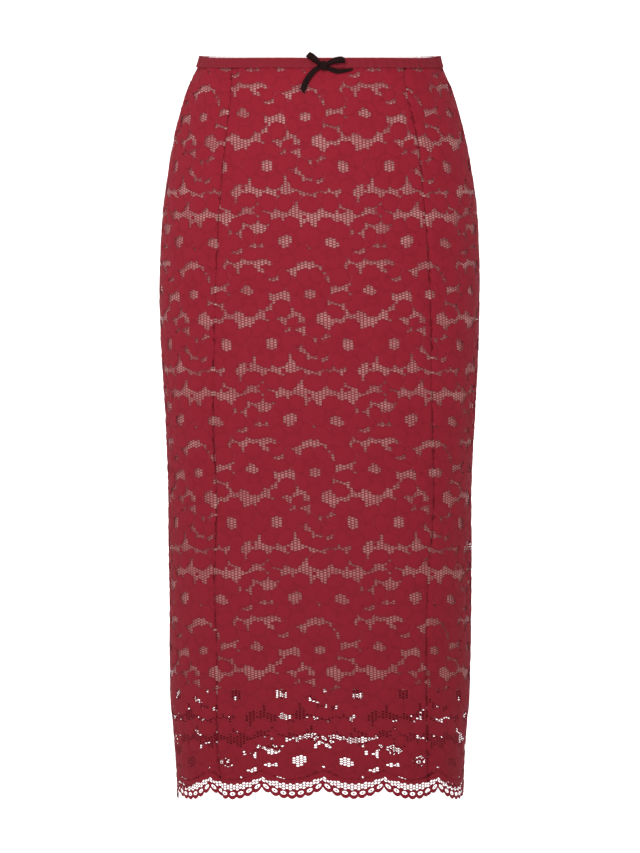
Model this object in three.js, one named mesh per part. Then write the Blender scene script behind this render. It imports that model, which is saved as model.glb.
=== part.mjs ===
// A lace pencil skirt, hollow, in the shape it takes when it is worn.
// Millimetres, +Z up. The origin is the middle of the waist opening, at half the height of the
// waist elastic beside the side seams. The front faces -Y and the wearer's left is +X.
// `turn` is the angle round the figure: 0 at the centre front, positive towards the wearer's
// left, a right angle at the left side seam and a half turn at the centre back.

import * as THREE from 'three';

// ---- Driving sizes ----

const CLOTH = 1.0;       // wall of the lace, the lining and the ribbon
const SEAM_GAP = 0.3;    // clear space between two pieces that are sewn together
const FULLNESS = 0.12;   // how much squarer than an ellipse each section is

const WAIST = { top: 5.3, frontDip: 15, backRise: 7.5 };          // top edge of the band
const ELASTIC = { band: 10.6, picot: 1.8, thick: 1.6 };
const HEM = { side: -781, front: -765, back: -744 };              // lowest point of the lobes
const SCALLOP = { pitch: 63, depth: 10, frontNotch: 3, backNotch: 0 };
const LINING = { inset: 2.2, underBand: 7, levels: 16, side: -665, front: -654, back: -660 };

// Sections of the worn skirt: half its width, and how far its front and back stand from the axis.
const SECTIONS = [
  { z: 20, half: 126.0, front: 88.5, back: 91.5 },
  { z: 5, half: 126.9, front: 89.0, back: 93.0 },
  { z: -8, half: 130.5, front: 90.5, back: 94.5 },
  { z: -30, half: 140.6, front: 94.0, back: 97.5 },
  { z: -72, half: 152.8, front: 99.0, back: 105.0 },
  { z: -114, half: 160.8, front: 103.0, back: 114.0 },
  { z: -160, half: 167.1, front: 106.0, back: 122.0 },
  { z: -235, half: 170.1, front: 107.0, back: 128.0 },
  { z: -305, half: 168.5, front: 106.0, back: 125.0 },
  { z: -350, half: 165.8, front: 105.0, back: 121.5 },
  { z: -435, half: 161.7, front: 103.0, back: 115.0 },
  { z: -520, half: 160.8, front: 102.0, back: 111.0 },
  { z: -670, half: 159.0, front: 100.0, back: 107.0 },
  { z: -710, half: 155.4, front: 99.0, back: 105.5 },
  { z: -760, half: 152.3, front: 98.0, back: 104.0 },
  { z: -800, half: 152.0, front: 98.0, back: 104.0 },
];

// The two front seams: how far each one stands from the middle, on the wearer's right and left.
const FRONT_SEAMS = [
  { z: 20, right: 90.0, left: 86.0 },
  { z: -40, right: 92.5, left: 89.5 },
  { z: -92, right: 97.6, left: 100.6 },
  { z: -150, right: 102.7, left: 107.5 },
  { z: -240, right: 107.5, left: 113.3 },
  { z: -390, right: 110.0, left: 116.5 },
  { z: -460, right: 107.0, left: 118.0 },
  { z: -550, right: 109.0, left: 111.8 },
  { z: -630, right: 107.0, left: 110.0 },
  { z: -710, right: 106.5, left: 111.0 },
  { z: -800, right: 97.0, left: 113.0 },
];

// Levels of cloth below the band, closest where the figure turns most. A panel's own length
// stretches them a little, and its last level is its hem.
const LEVELS = {
  drops: [0, 6, 16, 32, 58, 92, 130, 170, 215, 260, 310, 365, 425, 490, 555, 615, 665, 700, 730],
  length: 745,
};

// The bow. x and z are from the middle of its knot and `off` is out from the band under it.
// A tail is a flat strip; a loop is a strip that goes out, turns and comes back on itself.
const RIBBON = 6.0;
const KNOT = { x: 3.7, z: -18.7, wide: 8.3, tall: 9.6, off: 0.35, thick: 5.2, round: 1.3 };
const LOOPS = {
  right: { root: { x: -6.3, z: 3.1 }, end: { x: -15.6, z: 11.2 }, width: RIBBON },
  left: { root: { x: 5.4, z: 2.2 }, end: { x: 20.2, z: 5.2 }, width: 5.0 },
};
const LOOP_SIDE = [            // share of the loop's length, and `off`, out to the turn and back
  { share: 0.0, off: 2.7 }, { share: 0.3, off: 2.2 }, { share: 0.75, off: 2.2 },
  { share: 0.95, off: 2.9 }, { share: 1.0, off: 4.0 }, { share: 0.93, off: 5.2 },
  { share: 0.7, off: 5.8 }, { share: 0.3, off: 5.2 }, { share: 0.0, off: 4.1 },
];
const TAIL_OFF = 0.85;
const TAILS = {
  right: [
    { x: -7.4, z: -1.6, width: RIBBON }, { x: -11.0, z: -7.0, width: RIBBON },
    { x: -17.0, z: -16.0, width: RIBBON }, { x: -23.0, z: -26.3, width: RIBBON },
  ],
  left: [
    { x: 4.8, z: -2.2, width: 4.6 }, { x: 14.7, z: -4.0, width: 4.8 },
    { x: 22.0, z: -3.6, width: 3.6 }, { x: 29.7, z: -2.8, width: 1.4 },
  ],
};

const QUARTER = Math.PI / 2;

// ---- The shape of the figure under the cloth ----

// A smooth curve through one column of a table whose rows go down in z.
function column(table, name, z) {
  const last = table.length - 1;
  if (z >= table[0].z) return table[0][name];
  if (z <= table[last].z) return table[last][name];
  const i = table.findIndex((row) => row.z < z) - 1;
  const slope = (k) => {
    const a = table[Math.max(k - 1, 0)], b = table[Math.min(k + 1, last)];
    return (b[name] - a[name]) / (b.z - a.z);
  };
  const [a, b] = [table[i], table[i + 1]];
  const span = b.z - a.z, s = (z - a.z) / span;
  return (1 + 2 * s) * (1 - s) ** 2 * a[name] + s * (1 - s) ** 2 * span * slope(i)
    + s * s * (3 - 2 * s) * b[name] + s * s * (s - 1) * span * slope(i + 1);
}

function onFigure(turn, z) {
  const c = Math.cos(turn), s = Math.sin(turn);
  const depth = column(SECTIONS, c > 0 ? 'front' : 'back', z);
  return new THREE.Vector3(
    column(SECTIONS, 'half', z) * s, -depth * c * (1 + FULLNESS * s * s), z);
}

// The same point moved straight out of the cloth, or inward where `out` is negative.
function offFigure(turn, z, out) {
  const round = onFigure(turn + 1e-4, z).sub(onFigure(turn - 1e-4, z));
  const down = onFigure(turn, z + 0.5).sub(onFigure(turn, z - 0.5));
  return onFigure(turn, z).addScaledVector(round.cross(down).normalize(), out);
}

function turnAt(x, z) {
  return Math.asin(x / column(SECTIONS, 'half', z));
}

// The turn that one millimetre of cloth takes up.
function turnPerMm(turn, z) {
  return 1e-3 / onFigure(turn + 1e-3, z).distanceTo(onFigure(turn, z));
}

// Length round the hem from the centre front.
function hemLength(turn) {
  const steps = 60;
  let sum = 0;
  for (let i = 0; i < steps; i++) {
    sum += onFigure((turn * (i + 1)) / steps, HEM.side)
      .distanceTo(onFigure((turn * i) / steps, HEM.side));
  }
  return Math.sign(turn) * sum;
}

// ---- Edges ----

function bandTop(turn) {
  const c = Math.cos(turn), s = Math.sin(turn);
  if (c > 0) return WAIST.top - WAIST.frontDip * c * (1 + FULLNESS * s * s);
  return WAIST.top - 2 * WAIST.backRise * c * (1 + c / 2);
}

const bandFoot = (turn) => bandTop(turn) - ELASTIC.band;

function hemLobes(turn) {
  const c = Math.cos(turn);
  const rise = c > 0 ? (HEM.front - HEM.side) * c : (HEM.back - HEM.side) * c * c;
  return HEM.side + rise;
}

// The z of the first `count` levels at one turn, and then of `foot`.
function levels(turn, foot, count) {
  const top = bandFoot(turn) - SEAM_GAP;
  const stretch = (top - hemLobes(turn)) / LEVELS.length;
  return [...LEVELS.drops.slice(0, count).map((drop) => top - drop * stretch), foot];
}

// A border of round lobes that meet in notches.
function scallopedHem(turn) {
  const front = Math.abs(turn) <= QUARTER;
  const along = front ? hemLength(turn) - SCALLOP.frontNotch
    : hemLength(turn) - hemLength(Math.PI) - SCALLOP.backNotch;
  const lobe = along / SCALLOP.pitch - Math.floor(along / SCALLOP.pitch);
  return hemLobes(turn) + SCALLOP.depth * (1 - 4 * lobe * (1 - lobe));
}

function liningHem(turn) {
  const c = Math.cos(turn);
  return c > 0 ? LINING.side + (LINING.front - LINING.side) * c
    : LINING.side + (LINING.back - LINING.side) * c * c;
}

// ---- Solids ----

function solid(points, triangles) {
  const geometry = new THREE.BufferGeometry();
  const flat = points.flatMap((p) => [p.x, p.y, p.z]);
  geometry.setAttribute('position', new THREE.Float32BufferAttribute(flat, 3));
  geometry.setIndex(triangles);
  geometry.computeVertexNormals();
  return geometry;
}

// A piece of cloth as a wall. It runs from turn `from(z)` to `to(z)` through the z levels that
// `rowsAt(turn)` gives, its outer face lies `inset` inside the figure's surface, and a closed
// one goes all the way round.
function wall({ from, to, rowsAt, columns, inset = 0, thick = CLOTH, closed = false }) {
  const points = [];
  const across = closed ? columns : columns + 1;
  const rows = rowsAt(0.01 + from(0)).length - 1;
  const put = (depth) => {
    for (let r = 0; r <= rows; r++) {
      for (let k = 0; k < across; k++) {
        let turn = 0, z = -400;
        for (let pass = 0; pass < 6; pass++) {
          turn = from(z) + ((to(z) - from(z)) * k) / columns;
          z = rowsAt(turn)[r];
        }
        points.push(offFigure(turn, z, -depth));
      }
    }
  };
  put(inset);
  put(inset + thick);
  const inner = (rows + 1) * across;
  const at = (r, k, face) => face * inner + r * across + (k % across);
  const triangles = [];
  const quad = (a, b, c, d) => triangles.push(a, b, c, a, c, d);
  for (let r = 0; r < rows; r++) {
    for (let k = 0; k < columns; k++) {
      quad(at(r, k, 0), at(r + 1, k, 0), at(r + 1, k + 1, 0), at(r, k + 1, 0));
      quad(at(r, k, 1), at(r, k + 1, 1), at(r + 1, k + 1, 1), at(r + 1, k, 1));
    }
  }
  for (let k = 0; k < columns; k++) {
    quad(at(0, k, 0), at(0, k + 1, 0), at(0, k + 1, 1), at(0, k, 1));
    quad(at(rows, k, 0), at(rows, k, 1), at(rows, k + 1, 1), at(rows, k + 1, 0));
  }
  for (let r = 0; r < rows && !closed; r++) {
    quad(at(r, 0, 0), at(r, 0, 1), at(r + 1, 0, 1), at(r + 1, 0, 0));
    quad(at(r, columns, 0), at(r + 1, columns, 0), at(r + 1, columns, 1), at(r, columns, 1));
  }
  return solid(points, triangles);
}

// A strip with a rectangular section along a list of { centre, side, face, width } stations.
function strip(stations, thick) {
  const points = [];
  for (const { centre, side, face, width } of stations) {
    for (const [a, b] of [[-1, -1], [1, -1], [1, 1], [-1, 1]]) {
      points.push(centre.clone().addScaledVector(side, (a * width) / 2)
        .addScaledVector(face, (b * thick) / 2));
    }
  }
  const triangles = [];
  const quad = (a, b, c, d) => triangles.push(a, b, c, a, c, d);
  const end = 4 * (stations.length - 1);
  for (let i = 0; i < end; i += 4) {
    for (let k = 0; k < 4; k++) {
      quad(i + k, i + ((k + 1) % 4), i + 4 + ((k + 1) % 4), i + 4 + k);
    }
  }
  quad(0, 3, 2, 1);
  quad(end, end + 1, end + 2, end + 3);
  return solid(points, triangles);
}

// A point `off` out from the cloth, placed from the middle of the knot, and the way out there.
function overBand(x, z, off) {
  return offFigure(turnAt(KNOT.x + x, KNOT.z + z), KNOT.z + z, off);
}

const wayOut = (x, z) => overBand(x, z, 1).sub(overBand(x, z, 0));

// Stations along the centres of a ribbon, with its width along `sideAt(i, ahead)`.
function alongPath(centres, widths, sideAt) {
  return centres.map((centre, i) => {
    const ahead = centres[Math.min(i + 1, centres.length - 1)].clone()
      .sub(centres[Math.max(i - 1, 0)]).normalize();
    const side = sideAt(i, ahead).normalize();
    return { centre, side, face: ahead.clone().cross(side).normalize(), width: widths[i] };
  });
}

function ribbonLoop({ root, end, width }) {
  const axis = overBand(end.x, end.z, 0).sub(overBand(root.x, root.z, 0));
  const side = wayOut(root.x, root.z).cross(axis);
  const centres = LOOP_SIDE.map(({ share, off }) => overBand(
    root.x + (end.x - root.x) * share, root.z + (end.z - root.z) * share, off));
  return strip(alongPath(centres, centres.map(() => width), () => side.clone()), CLOTH);
}

function ribbonTail(rows) {
  const centres = rows.map(({ x, z }) => overBand(x, z, TAIL_OFF));
  return strip(alongPath(centres, rows.map((row) => row.width),
    (i, ahead) => wayOut(rows[i].x, rows[i].z).cross(ahead)), CLOTH);
}

function knot() {
  const [w, h, r] = [KNOT.wide / 2 - KNOT.round, KNOT.tall / 2 - KNOT.round, KNOT.round];
  const outline = new THREE.Shape();
  outline.moveTo(-w, -h);
  outline.lineTo(w, -h);
  outline.lineTo(w, h);
  outline.lineTo(-w, h);
  outline.closePath();
  const geometry = new THREE.ExtrudeGeometry(outline, {
    depth: KNOT.thick - 2 * r, bevelEnabled: true, bevelSize: r, bevelThickness: r,
    bevelSegments: 3,
  });
  geometry.translate(0, 0, r);
  geometry.rotateX(QUARTER);
  return geometry;
}

// ---- Pieces ----

const skirt = new THREE.Group();

function add(name, geometry, material) {
  const mesh = new THREE.Mesh(geometry, material.clone());
  mesh.name = name;
  skirt.add(mesh);
  return mesh;
}

const lace = new THREE.MeshStandardMaterial({ color: 0x8a2531, roughness: 0.7, metalness: 0 });
const band = new THREE.MeshStandardMaterial({ color: 0x842a36, roughness: 0.75, metalness: 0 });
const nude = new THREE.MeshStandardMaterial({ color: 0xd8a59b, roughness: 0.45, metalness: 0 });
const velvet = new THREE.MeshStandardMaterial({ color: 0x241516, roughness: 0.95, metalness: 0 });

// Each edge is pulled back by half the gap, so two neighbours stay a whole gap apart.
const pulled = (turnOf, way) => (z) => {
  const turn = turnOf(z);
  return turn + ((way * SEAM_GAP) / 2) * turnPerMm(turn, z);
};
const rightSeam = (z) => -turnAt(column(FRONT_SEAMS, 'right', z), z);
const leftSeam = (z) => turnAt(column(FRONT_SEAMS, 'left', z), z);
const sideSeam = (way) => () => way * QUARTER;
const panel = (from, to, columns) => wall({
  from: pulled(from, 1), to: pulled(to, -1), columns,
  rowsAt: (turn) => levels(turn, scallopedHem(turn), LEVELS.drops.length),
});

add('waist_elastic', wall({
  from: () => -Math.PI, to: () => Math.PI, columns: 64, thick: ELASTIC.thick, closed: true,
  rowsAt: (turn) => [ELASTIC.band + ELASTIC.picot, ELASTIC.band / 2, 0]
    .map((rise) => bandFoot(turn) + rise),
}), band);

add('front_centre_panel', panel(rightSeam, leftSeam, 16), lace);
add('front_side_panel_right', panel(sideSeam(-1), rightSeam, 10), lace);
add('front_side_panel_left', panel(leftSeam, sideSeam(1), 10), lace);
add('back_panel', panel(sideSeam(1), sideSeam(3), 28), lace);

const lining = (from, to) => wall({
  from: pulled(from, 1), to: pulled(to, -1), columns: 22, inset: LINING.inset,
  rowsAt: (turn) => [
    bandFoot(turn) + LINING.underBand, ...levels(turn, liningHem(turn), LINING.levels),
  ],
});
add('lining_front', lining(sideSeam(-1), sideSeam(1)), nude);
add('lining_back', lining(sideSeam(1), sideSeam(3)), nude);

// The knot lies flat on the cloth, which leans back towards the waist.
const knotMesh = add('bow_knot', knot(), velvet);
knotMesh.position.copy(overBand(0, 0, KNOT.off));
knotMesh.quaternion.setFromUnitVectors(
  new THREE.Vector3(0, -1, 0), wayOut(0, 0));
add('bow_loop_right', ribbonLoop(LOOPS.right), velvet);
add('bow_loop_left', ribbonLoop(LOOPS.left), velvet);
add('bow_tail_right', ribbonTail(TAILS.right), velvet);
add('bow_tail_left', ribbonTail(TAILS.left), velvet);

export default skirt;
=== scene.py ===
import math

import bmesh
import bpy
import numpy as np
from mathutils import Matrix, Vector
from mathutils.geometry import delaunay_2d_cdt


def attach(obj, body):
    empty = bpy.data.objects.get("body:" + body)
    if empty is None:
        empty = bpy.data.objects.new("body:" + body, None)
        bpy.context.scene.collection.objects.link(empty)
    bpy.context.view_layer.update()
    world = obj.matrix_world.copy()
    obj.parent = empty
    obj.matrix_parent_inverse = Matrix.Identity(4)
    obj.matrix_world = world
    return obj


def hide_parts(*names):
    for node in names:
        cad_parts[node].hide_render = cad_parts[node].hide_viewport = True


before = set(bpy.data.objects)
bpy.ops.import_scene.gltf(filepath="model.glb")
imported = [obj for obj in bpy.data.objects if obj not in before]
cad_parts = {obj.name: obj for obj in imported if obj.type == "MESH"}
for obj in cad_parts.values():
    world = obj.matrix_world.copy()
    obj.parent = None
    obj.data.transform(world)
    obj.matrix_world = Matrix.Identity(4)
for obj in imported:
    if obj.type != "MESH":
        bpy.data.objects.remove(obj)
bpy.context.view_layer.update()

MM = 0.001

# ---------------------------------------------------------------------------
# The lace cloth. A stretch galloon: flowers and leaves of close clothwork on
# an open net of long cells, knitted in one repeat, with a scalloped edge that
# becomes the hem. It is cut in panels and worn on a figure with rounded hips.
# ---------------------------------------------------------------------------

# Half the width of the worn skirt, and how far its front and back stand out.
sections = np.array([
    # z, half width, front, back
    (20, 126.0, 88.5, 91.5), (5, 126.9, 89.0, 93.0), (-8, 130.5, 90.5, 94.5),
    (-30, 140.6, 94.0, 97.5), (-72, 152.8, 99.0, 105.0), (-114, 160.8, 103.0, 114.0),
    (-160, 167.1, 106.0, 122.0), (-235, 170.1, 107.0, 128.0), (-305, 168.5, 106.0, 125.0),
    (-350, 165.8, 105.0, 121.5), (-435, 161.7, 103.0, 115.0), (-520, 160.8, 102.0, 111.0),
    (-670, 159.0, 100.0, 107.0), (-710, 155.4, 99.0, 105.5), (-760, 152.3, 98.0, 104.0),
    (-800, 152.0, 98.0, 104.0)])
fullness = 0.12
waist_top, front_dip, back_rise = 5.3, 15.0, 7.5
band_height = 10.6
hem_side, hem_front, hem_back = -781.0, -765.0, -744.0
lobe_pitch, lobe_depth, front_notch = 63.0, 10.0, 3.0
cloth_length = 745.0     # of the front centre panel, from the band to the lobes


def smooth_column(table, column, z):
    """A smooth curve through one column of a table whose rows go down in z."""
    zs, values = table[::-1, 0], table[::-1, column]
    slopes = np.gradient(values, zs)
    slopes[1:-1] = (values[2:] - values[:-2]) / (zs[2:] - zs[:-2])
    z = np.clip(z, zs[0], zs[-1])
    i = np.clip(np.searchsorted(zs, z) - 1, 0, len(zs) - 2)
    span = zs[i + 1] - zs[i]
    s = (z - zs[i]) / span
    return ((1 + 2 * s) * (1 - s) ** 2 * values[i] + s * (1 - s) ** 2 * span * slopes[i]
            + s * s * (3 - 2 * s) * values[i + 1] + s * s * (s - 1) * span * slopes[i + 1])


def on_figure(turn, z):
    """Points on the figure, in mm. turn is 0 at the centre front, positive to the left."""
    c, s = np.cos(turn), np.sin(turn)
    depth = np.where(c > 0, smooth_column(sections, 2, z), smooth_column(sections, 3, z))
    return np.stack([smooth_column(sections, 1, z) * s,
                     -depth * c * (1 + fullness * s * s), z + 0 * s], -1)


def band_foot(turn):
    c, s = np.cos(turn), np.sin(turn)
    front = waist_top - front_dip * c * (1 + fullness * s * s)
    back = waist_top - 2 * back_rise * c * (1 + c / 2)
    return np.where(c > 0, front, back) - band_height


def hem_lobes(turn):
    c = np.cos(turn)
    return hem_side + np.where(c > 0, (hem_front - hem_side) * c, (hem_back - hem_side) * c * c)


def level(turn, rise):
    """z of a point that lies `rise` mm of cloth above the lowest lobes."""
    return hem_lobes(turn) + rise / cloth_length * (band_foot(turn) - hem_lobes(turn))


fold_waves = np.random.default_rng(7)
gather_waves = fold_waves.uniform((55, 0), (120, 6.28), (7, 2))
side_waves = fold_waves.uniform((70, 0, 0.004, 0), (135, 6.28, 0.02, 6.28), (6, 4))


def folds(turn, z):
    """How far the cloth stands in or out, in mm: gathers under the band, fine upright
    folds where it rounds the hips, and slow waves over the rest."""
    below = band_foot(turn) - z
    gathers = sum(np.sin(n * turn + p) for n, p in gather_waves) / 3.5
    under_band = 0.55 * gathers * np.exp(-np.maximum(below, 0) / 20)
    rounding = np.clip((np.abs(np.sin(turn)) - 0.86) / 0.12, 0, 1) ** 2
    upright = sum(np.sin(n * turn + p + 2.2 * np.sin(w * z + q))
                  for n, p, w, q in side_waves) / 3
    slow = np.sin(5 * turn + 0.011 * z) * np.sin(0.019 * z + 1.7 * np.sin(2 * turn))
    return under_band + 0.75 * rounding * upright * (0.6 + 0.4 * np.sin(0.013 * z + 1)) + 0.5 * slow


def off_figure(turn, z, out):
    """Points moved `out` mm off the figure and folded with the cloth, in metres."""
    a = on_figure(turn + 1e-4, z) - on_figure(turn - 1e-4, z)
    b = on_figure(turn, z + 0.5) - on_figure(turn, z - 0.5)
    way = np.cross(a, b)
    way /= np.linalg.norm(way, axis=-1, keepdims=True)
    return (on_figure(turn, z) + way * (out + folds(turn, z))[..., None]) * MM


# Lengths round the figure from the centre front, and from the centre back.
round_turns = np.linspace(-1.62, 1.62, 325)
round_levels = np.arange(-812.0, 33.0, 8.0)


def lengths_round(middle):
    t, z = np.meshgrid(round_turns + middle, round_levels)
    p = on_figure(t, z)
    steps = np.linalg.norm(np.diff(p, axis=1), axis=2)
    total = np.concatenate([np.zeros((len(z), 1)), np.cumsum(steps, 1)], 1)
    return total - total[:, [len(round_turns) // 2]]


around = {0.0: lengths_round(0.0), math.pi: lengths_round(math.pi)}


def length_round(middle, turn, z):
    """mm of cloth from the middle of the front or back to a turn, at one height."""
    table = around[middle]
    i = np.clip((turn - middle - round_turns[0]) / (round_turns[1] - round_turns[0]),
                0, len(round_turns) - 1.001)
    j = np.clip((z - round_levels[0]) / 8.0, 0, len(round_levels) - 1.001)
    a, b = i.astype(int), j.astype(int)
    fa, fb = i - a, j - b
    return ((table[b, a] * (1 - fa) + table[b, a + 1] * fa) * (1 - fb)
            + (table[b + 1, a] * (1 - fa) + table[b + 1, a + 1] * fa) * fb)


def turn_for(middle, length, rise, shift):
    """The turn at which the cloth's own length round is `length`, and the z there."""
    turn = middle + length / 140.0
    for _ in range(9):
        turn = np.clip(turn, middle - 1.6, middle + 1.6)
        z = level(turn, rise)
        miss = length + shift(z) - length_round(middle, turn, z)
        speed = (length_round(middle, turn + 0.01, z) - length_round(middle, turn - 0.01, z)) / 0.02
        turn = turn + miss / np.maximum(speed, 40)
    return turn, level(turn, rise)


def scallop(length, notch):
    """Rise of the border's edge above the lowest lobes."""
    lobe = ((length - notch) / lobe_pitch) % 1.0
    return lobe_depth * (1 - 4 * lobe * (1 - lobe))


# --- One repeat of the lace, charted in mm ---

repeat_wide, repeat_tall = 126.0, 181.0
cells_across, cells_up = 34, 72
cell_step, cell_tall = repeat_wide / cells_across, repeat_tall / cells_up
cell_wide = cell_step * 4 / 3
thread = 0.42            # half the width of a net thread
chart_dice = np.random.default_rng(5)


def oval(cx, cy, rx, ry, count, lean=0.0, ripple=0.0):
    """A rounded outline, a little uneven."""
    a = np.linspace(0, 2 * math.pi, count, endpoint=False)
    grow = 1 + ripple * chart_dice.uniform(-1, 1, count)
    x, y = rx * grow * np.cos(a), ry * grow * np.sin(a)
    c, s = math.cos(lean), math.sin(lean)
    return np.stack([cx + x * c - y * s, cy + x * s + y * c], 1)


def leaf(cx, cy, long, wide, lean, stations=7):
    t = np.linspace(0, 1, stations)
    half = wide / 2 * np.sin(math.pi * t) ** 0.62
    upper = np.stack([(t - 0.5) * long, half], 1)[::-1]
    p = np.concatenate([upper, (upper * (1, -1))[::-1][1:-1]])
    c, s = math.cos(lean), math.sin(lean)
    return np.stack([cx + p[:, 0] * c - p[:, 1] * s, cy + p[:, 0] * s + p[:, 1] * c], 1)


def bloom(cx, cy, rx, ry, petals, first):
    """A flower taller than it is wide: its outline, its petals and the grooves between."""
    size = chart_dice.uniform(0.95, 1.05, petals)
    sector = 2 * math.pi / petals

    def at(angle, share):
        """Points at angles from the middle, a share of the way to the outline."""
        k = np.floor(((angle - first) / sector + 0.5) % petals).astype(int) % petals
        off = ((angle - first) / sector + 0.5) % 1.0 - 0.5
        r = (0.80 + 0.20 * np.cos(math.pi * off) ** 0.55) * size[k] * share
        return np.stack([cx + rx * r * np.cos(angle), cy + ry * r * np.sin(angle)], -1)

    outline = at(first + sector * (np.arange(petals * 7) - 3.5) / 7, 1.0)
    raised, grooves = [], []
    for k in range(petals):
        middle = first + k * sector
        gap = 0.035 * sector
        far = np.array([-0.5, -0.42, -0.22, 0.0, 0.22, 0.42, 0.5]) * (sector - 2 * gap)
        share = np.array([0.84, 0.93, 0.97, 0.975, 0.97, 0.93, 0.84])
        near = np.array([0.30, 0.0, -0.30]) * sector
        raised.append(np.concatenate([at(middle + far, share),
                                      at(middle + near, np.array([0.56, 0.53, 0.56]))]))
        for share in (0.60, 0.72, 0.84):
            grooves.append(at(np.array([middle + sector / 2]), share)[0])
    for k in range(5):       # small petals round the open middle
        middle = first + 0.4 + 2 * math.pi * k / 5
        spread = np.array([-0.5, 0.0, 0.5, 0.42, -0.42]) * 2 * math.pi / 5 * 0.82
        r = np.array([0.47, 0.52, 0.47, 0.37, 0.37])
        raised.append(np.stack([cx + rx * r * np.cos(middle + spread),
                                cy + ry * r * 0.9 * np.sin(middle + spread)], 1))
    return outline, raised, grooves


flowers = [
    # x, y, half width, half height, petals, first angle, open middle
    (0.0, 0.0, 22.5, 26.5, 6, 0.55, (-2.0, 1.5, 7.4, 5.0, -0.2)),
    (62.5, -1.0, 22.0, 26.5, 7, 0.20, (0.0, -2.0, 7.6, 5.4, 0.2)),
    (-25.8, -54.5, 24.5, 26.5, 7, 0.45, (0.0, 0.5, 6.8, 7.8, 0.5)),
    (20.5, -53.0, 24.0, 26.0, 6, 0.10, (1.5, 0.0, 7.6, 6.8, 0.4)),
    (39.5, -130.5, 24.5, 26.5, 7, 0.30, (-0.5, 1.0, 8.0, 7.2, 0.9)),
    (85.5, -131.5, 24.5, 26.5, 6, 0.80, (0.5, 0.0, 8.2, 6.0, -0.3)),
]
leaves = [
    # x, y, long, wide, lean: between the first even flower and the second
    (38.0, 13.5, 19, 13, 1.75), (27.5, 4.5, 23, 12.5, 0.05), (25.0, 20.0, 17, 12, 0.5),
    (34.0, -17.0, 19, 18.5, 0.9), (22.5, -24.0, 14, 9, 2.6),
    # and between the second and the next
    (93.5, 15.5, 24, 21, -0.2), (93.7, -6.0, 24, 12.5, 0.05), (106.5, -14.0, 19, 13, 1.3),
    (88.0, -20.5, 20, 13, 2.7), (107.0, 3.0, 11, 8, 1.4),
    # between the pairs, under a curved stem
    (47.5, -48.0, 19, 12.5, 1.75), (61.5, -55.0, 25, 12, 2.05), (68.0, -39.5, 23, 14.5, -0.1),
    (74.5, -60.0, 17, 13, 1.2), (71.5, -51.5, 10, 5.5, 1.5), (46.0, -64.0, 14, 8, 1.5),
    (51.5, -69.0, 19, 13, 2), (65.0, -74.5, 23, 12.5, 0), (79.5, -74.0, 14, 9, 0.6),
    # the row of small leaves in leaning pairs
    (-24.0, -87.5, 20, 14.5, 1.75), (1.0, -88.0, 25, 14.5, 0), (22.0, -90.5, 21, 18.5, 1.95),
    (39.5, -91.0, 20, 17, 1.15), (51.0, -84.0, 11, 9, 1.3), (65.0, -92.5, 25, 17, 0),
    (85.5, -91.0, 21, 18.5, 1.9), (104.0, -88.5, 20, 16, 1.95), (-10.0, -96.5, 11, 9, 1.2),
    (12.0, -98.0, 10, 9, 1.9), (2.5, -107.5, 20, 10.5, 0), (19.0, -106.5, 14, 12, 2.5),
    (113.0, -98.0, 11, 9, 1.5), (76.5, -84.0, 9, 8, 1.8),
    # between the lower pairs
    (-12.0, -113.0, 18, 12.5, 1.2), (1.0, -124.0, 19, 12, 1.75), (11.5, -128.0, 14, 7.5, 1.4),
    (-14.0, -131.0, 19, 16, 1.75), (5.0, -143.0, 25, 13, 0.1), (-3.0, -133.5, 10, 9, 1.6),
    (14.5, -142.0, 14, 12, 1), (-14.5, -147.0, 17, 8, 0.1),
    # and in what is left of the net
    (46.5, 2.0, 14, 8, 1.5), (33.0, 26.0, 14, 7, 0.1), (80.0, 29.0, 13, 7, 0.3),
    (107.5, 22.0, 15, 9, 2.2), (43.5, -31.0, 15, 8, 0.7), (-2.5, -66.0, 13, 9, 1.57),
    (-2.5, -41.0, 14, 9, 1.57), (62.2, -117.0, 16, 9, 1.57), (62.2, -144.0, 14, 9, 1.57),
    (62.0, -30.0, 12, 6, 0.0), (-44.0, -158.0, 13, 6, 0.2), (20.0, -157.0, 13, 6, 2.9),
]
rings = [
    # small eyelets worked round a dot, and where the net opens round them
    (21.0, -11.0), (84.5, 7.5), (34.0, -80.5), (-3.5, -75.5), (-30.0, -99.5), (99.0, -99.5),
    (59.0, -105.0),
]
stems = [
    # curved stems: middle, radius across and up, from one angle to the other, half width
    (55.0, -42.0, 12.5, 9.0, 0.25, 2.9, 1.5), (-14.0, -136.5, 11.5, 9.5, 3.4, 6.0, 1.1),
]


def inside(points, shape):
    """Which points lie in a polygon."""
    x, y = points[:, 0], points[:, 1]
    odd = np.zeros(len(points), bool)
    for (ax, ay), (bx, by) in zip(shape, np.roll(shape, -1, 0)):
        if ay != by:
            odd ^= ((ay > y) != (by > y)) & (x < (bx - ax) * (y - ay) / (by - ay) + ax)
    return odd


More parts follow.
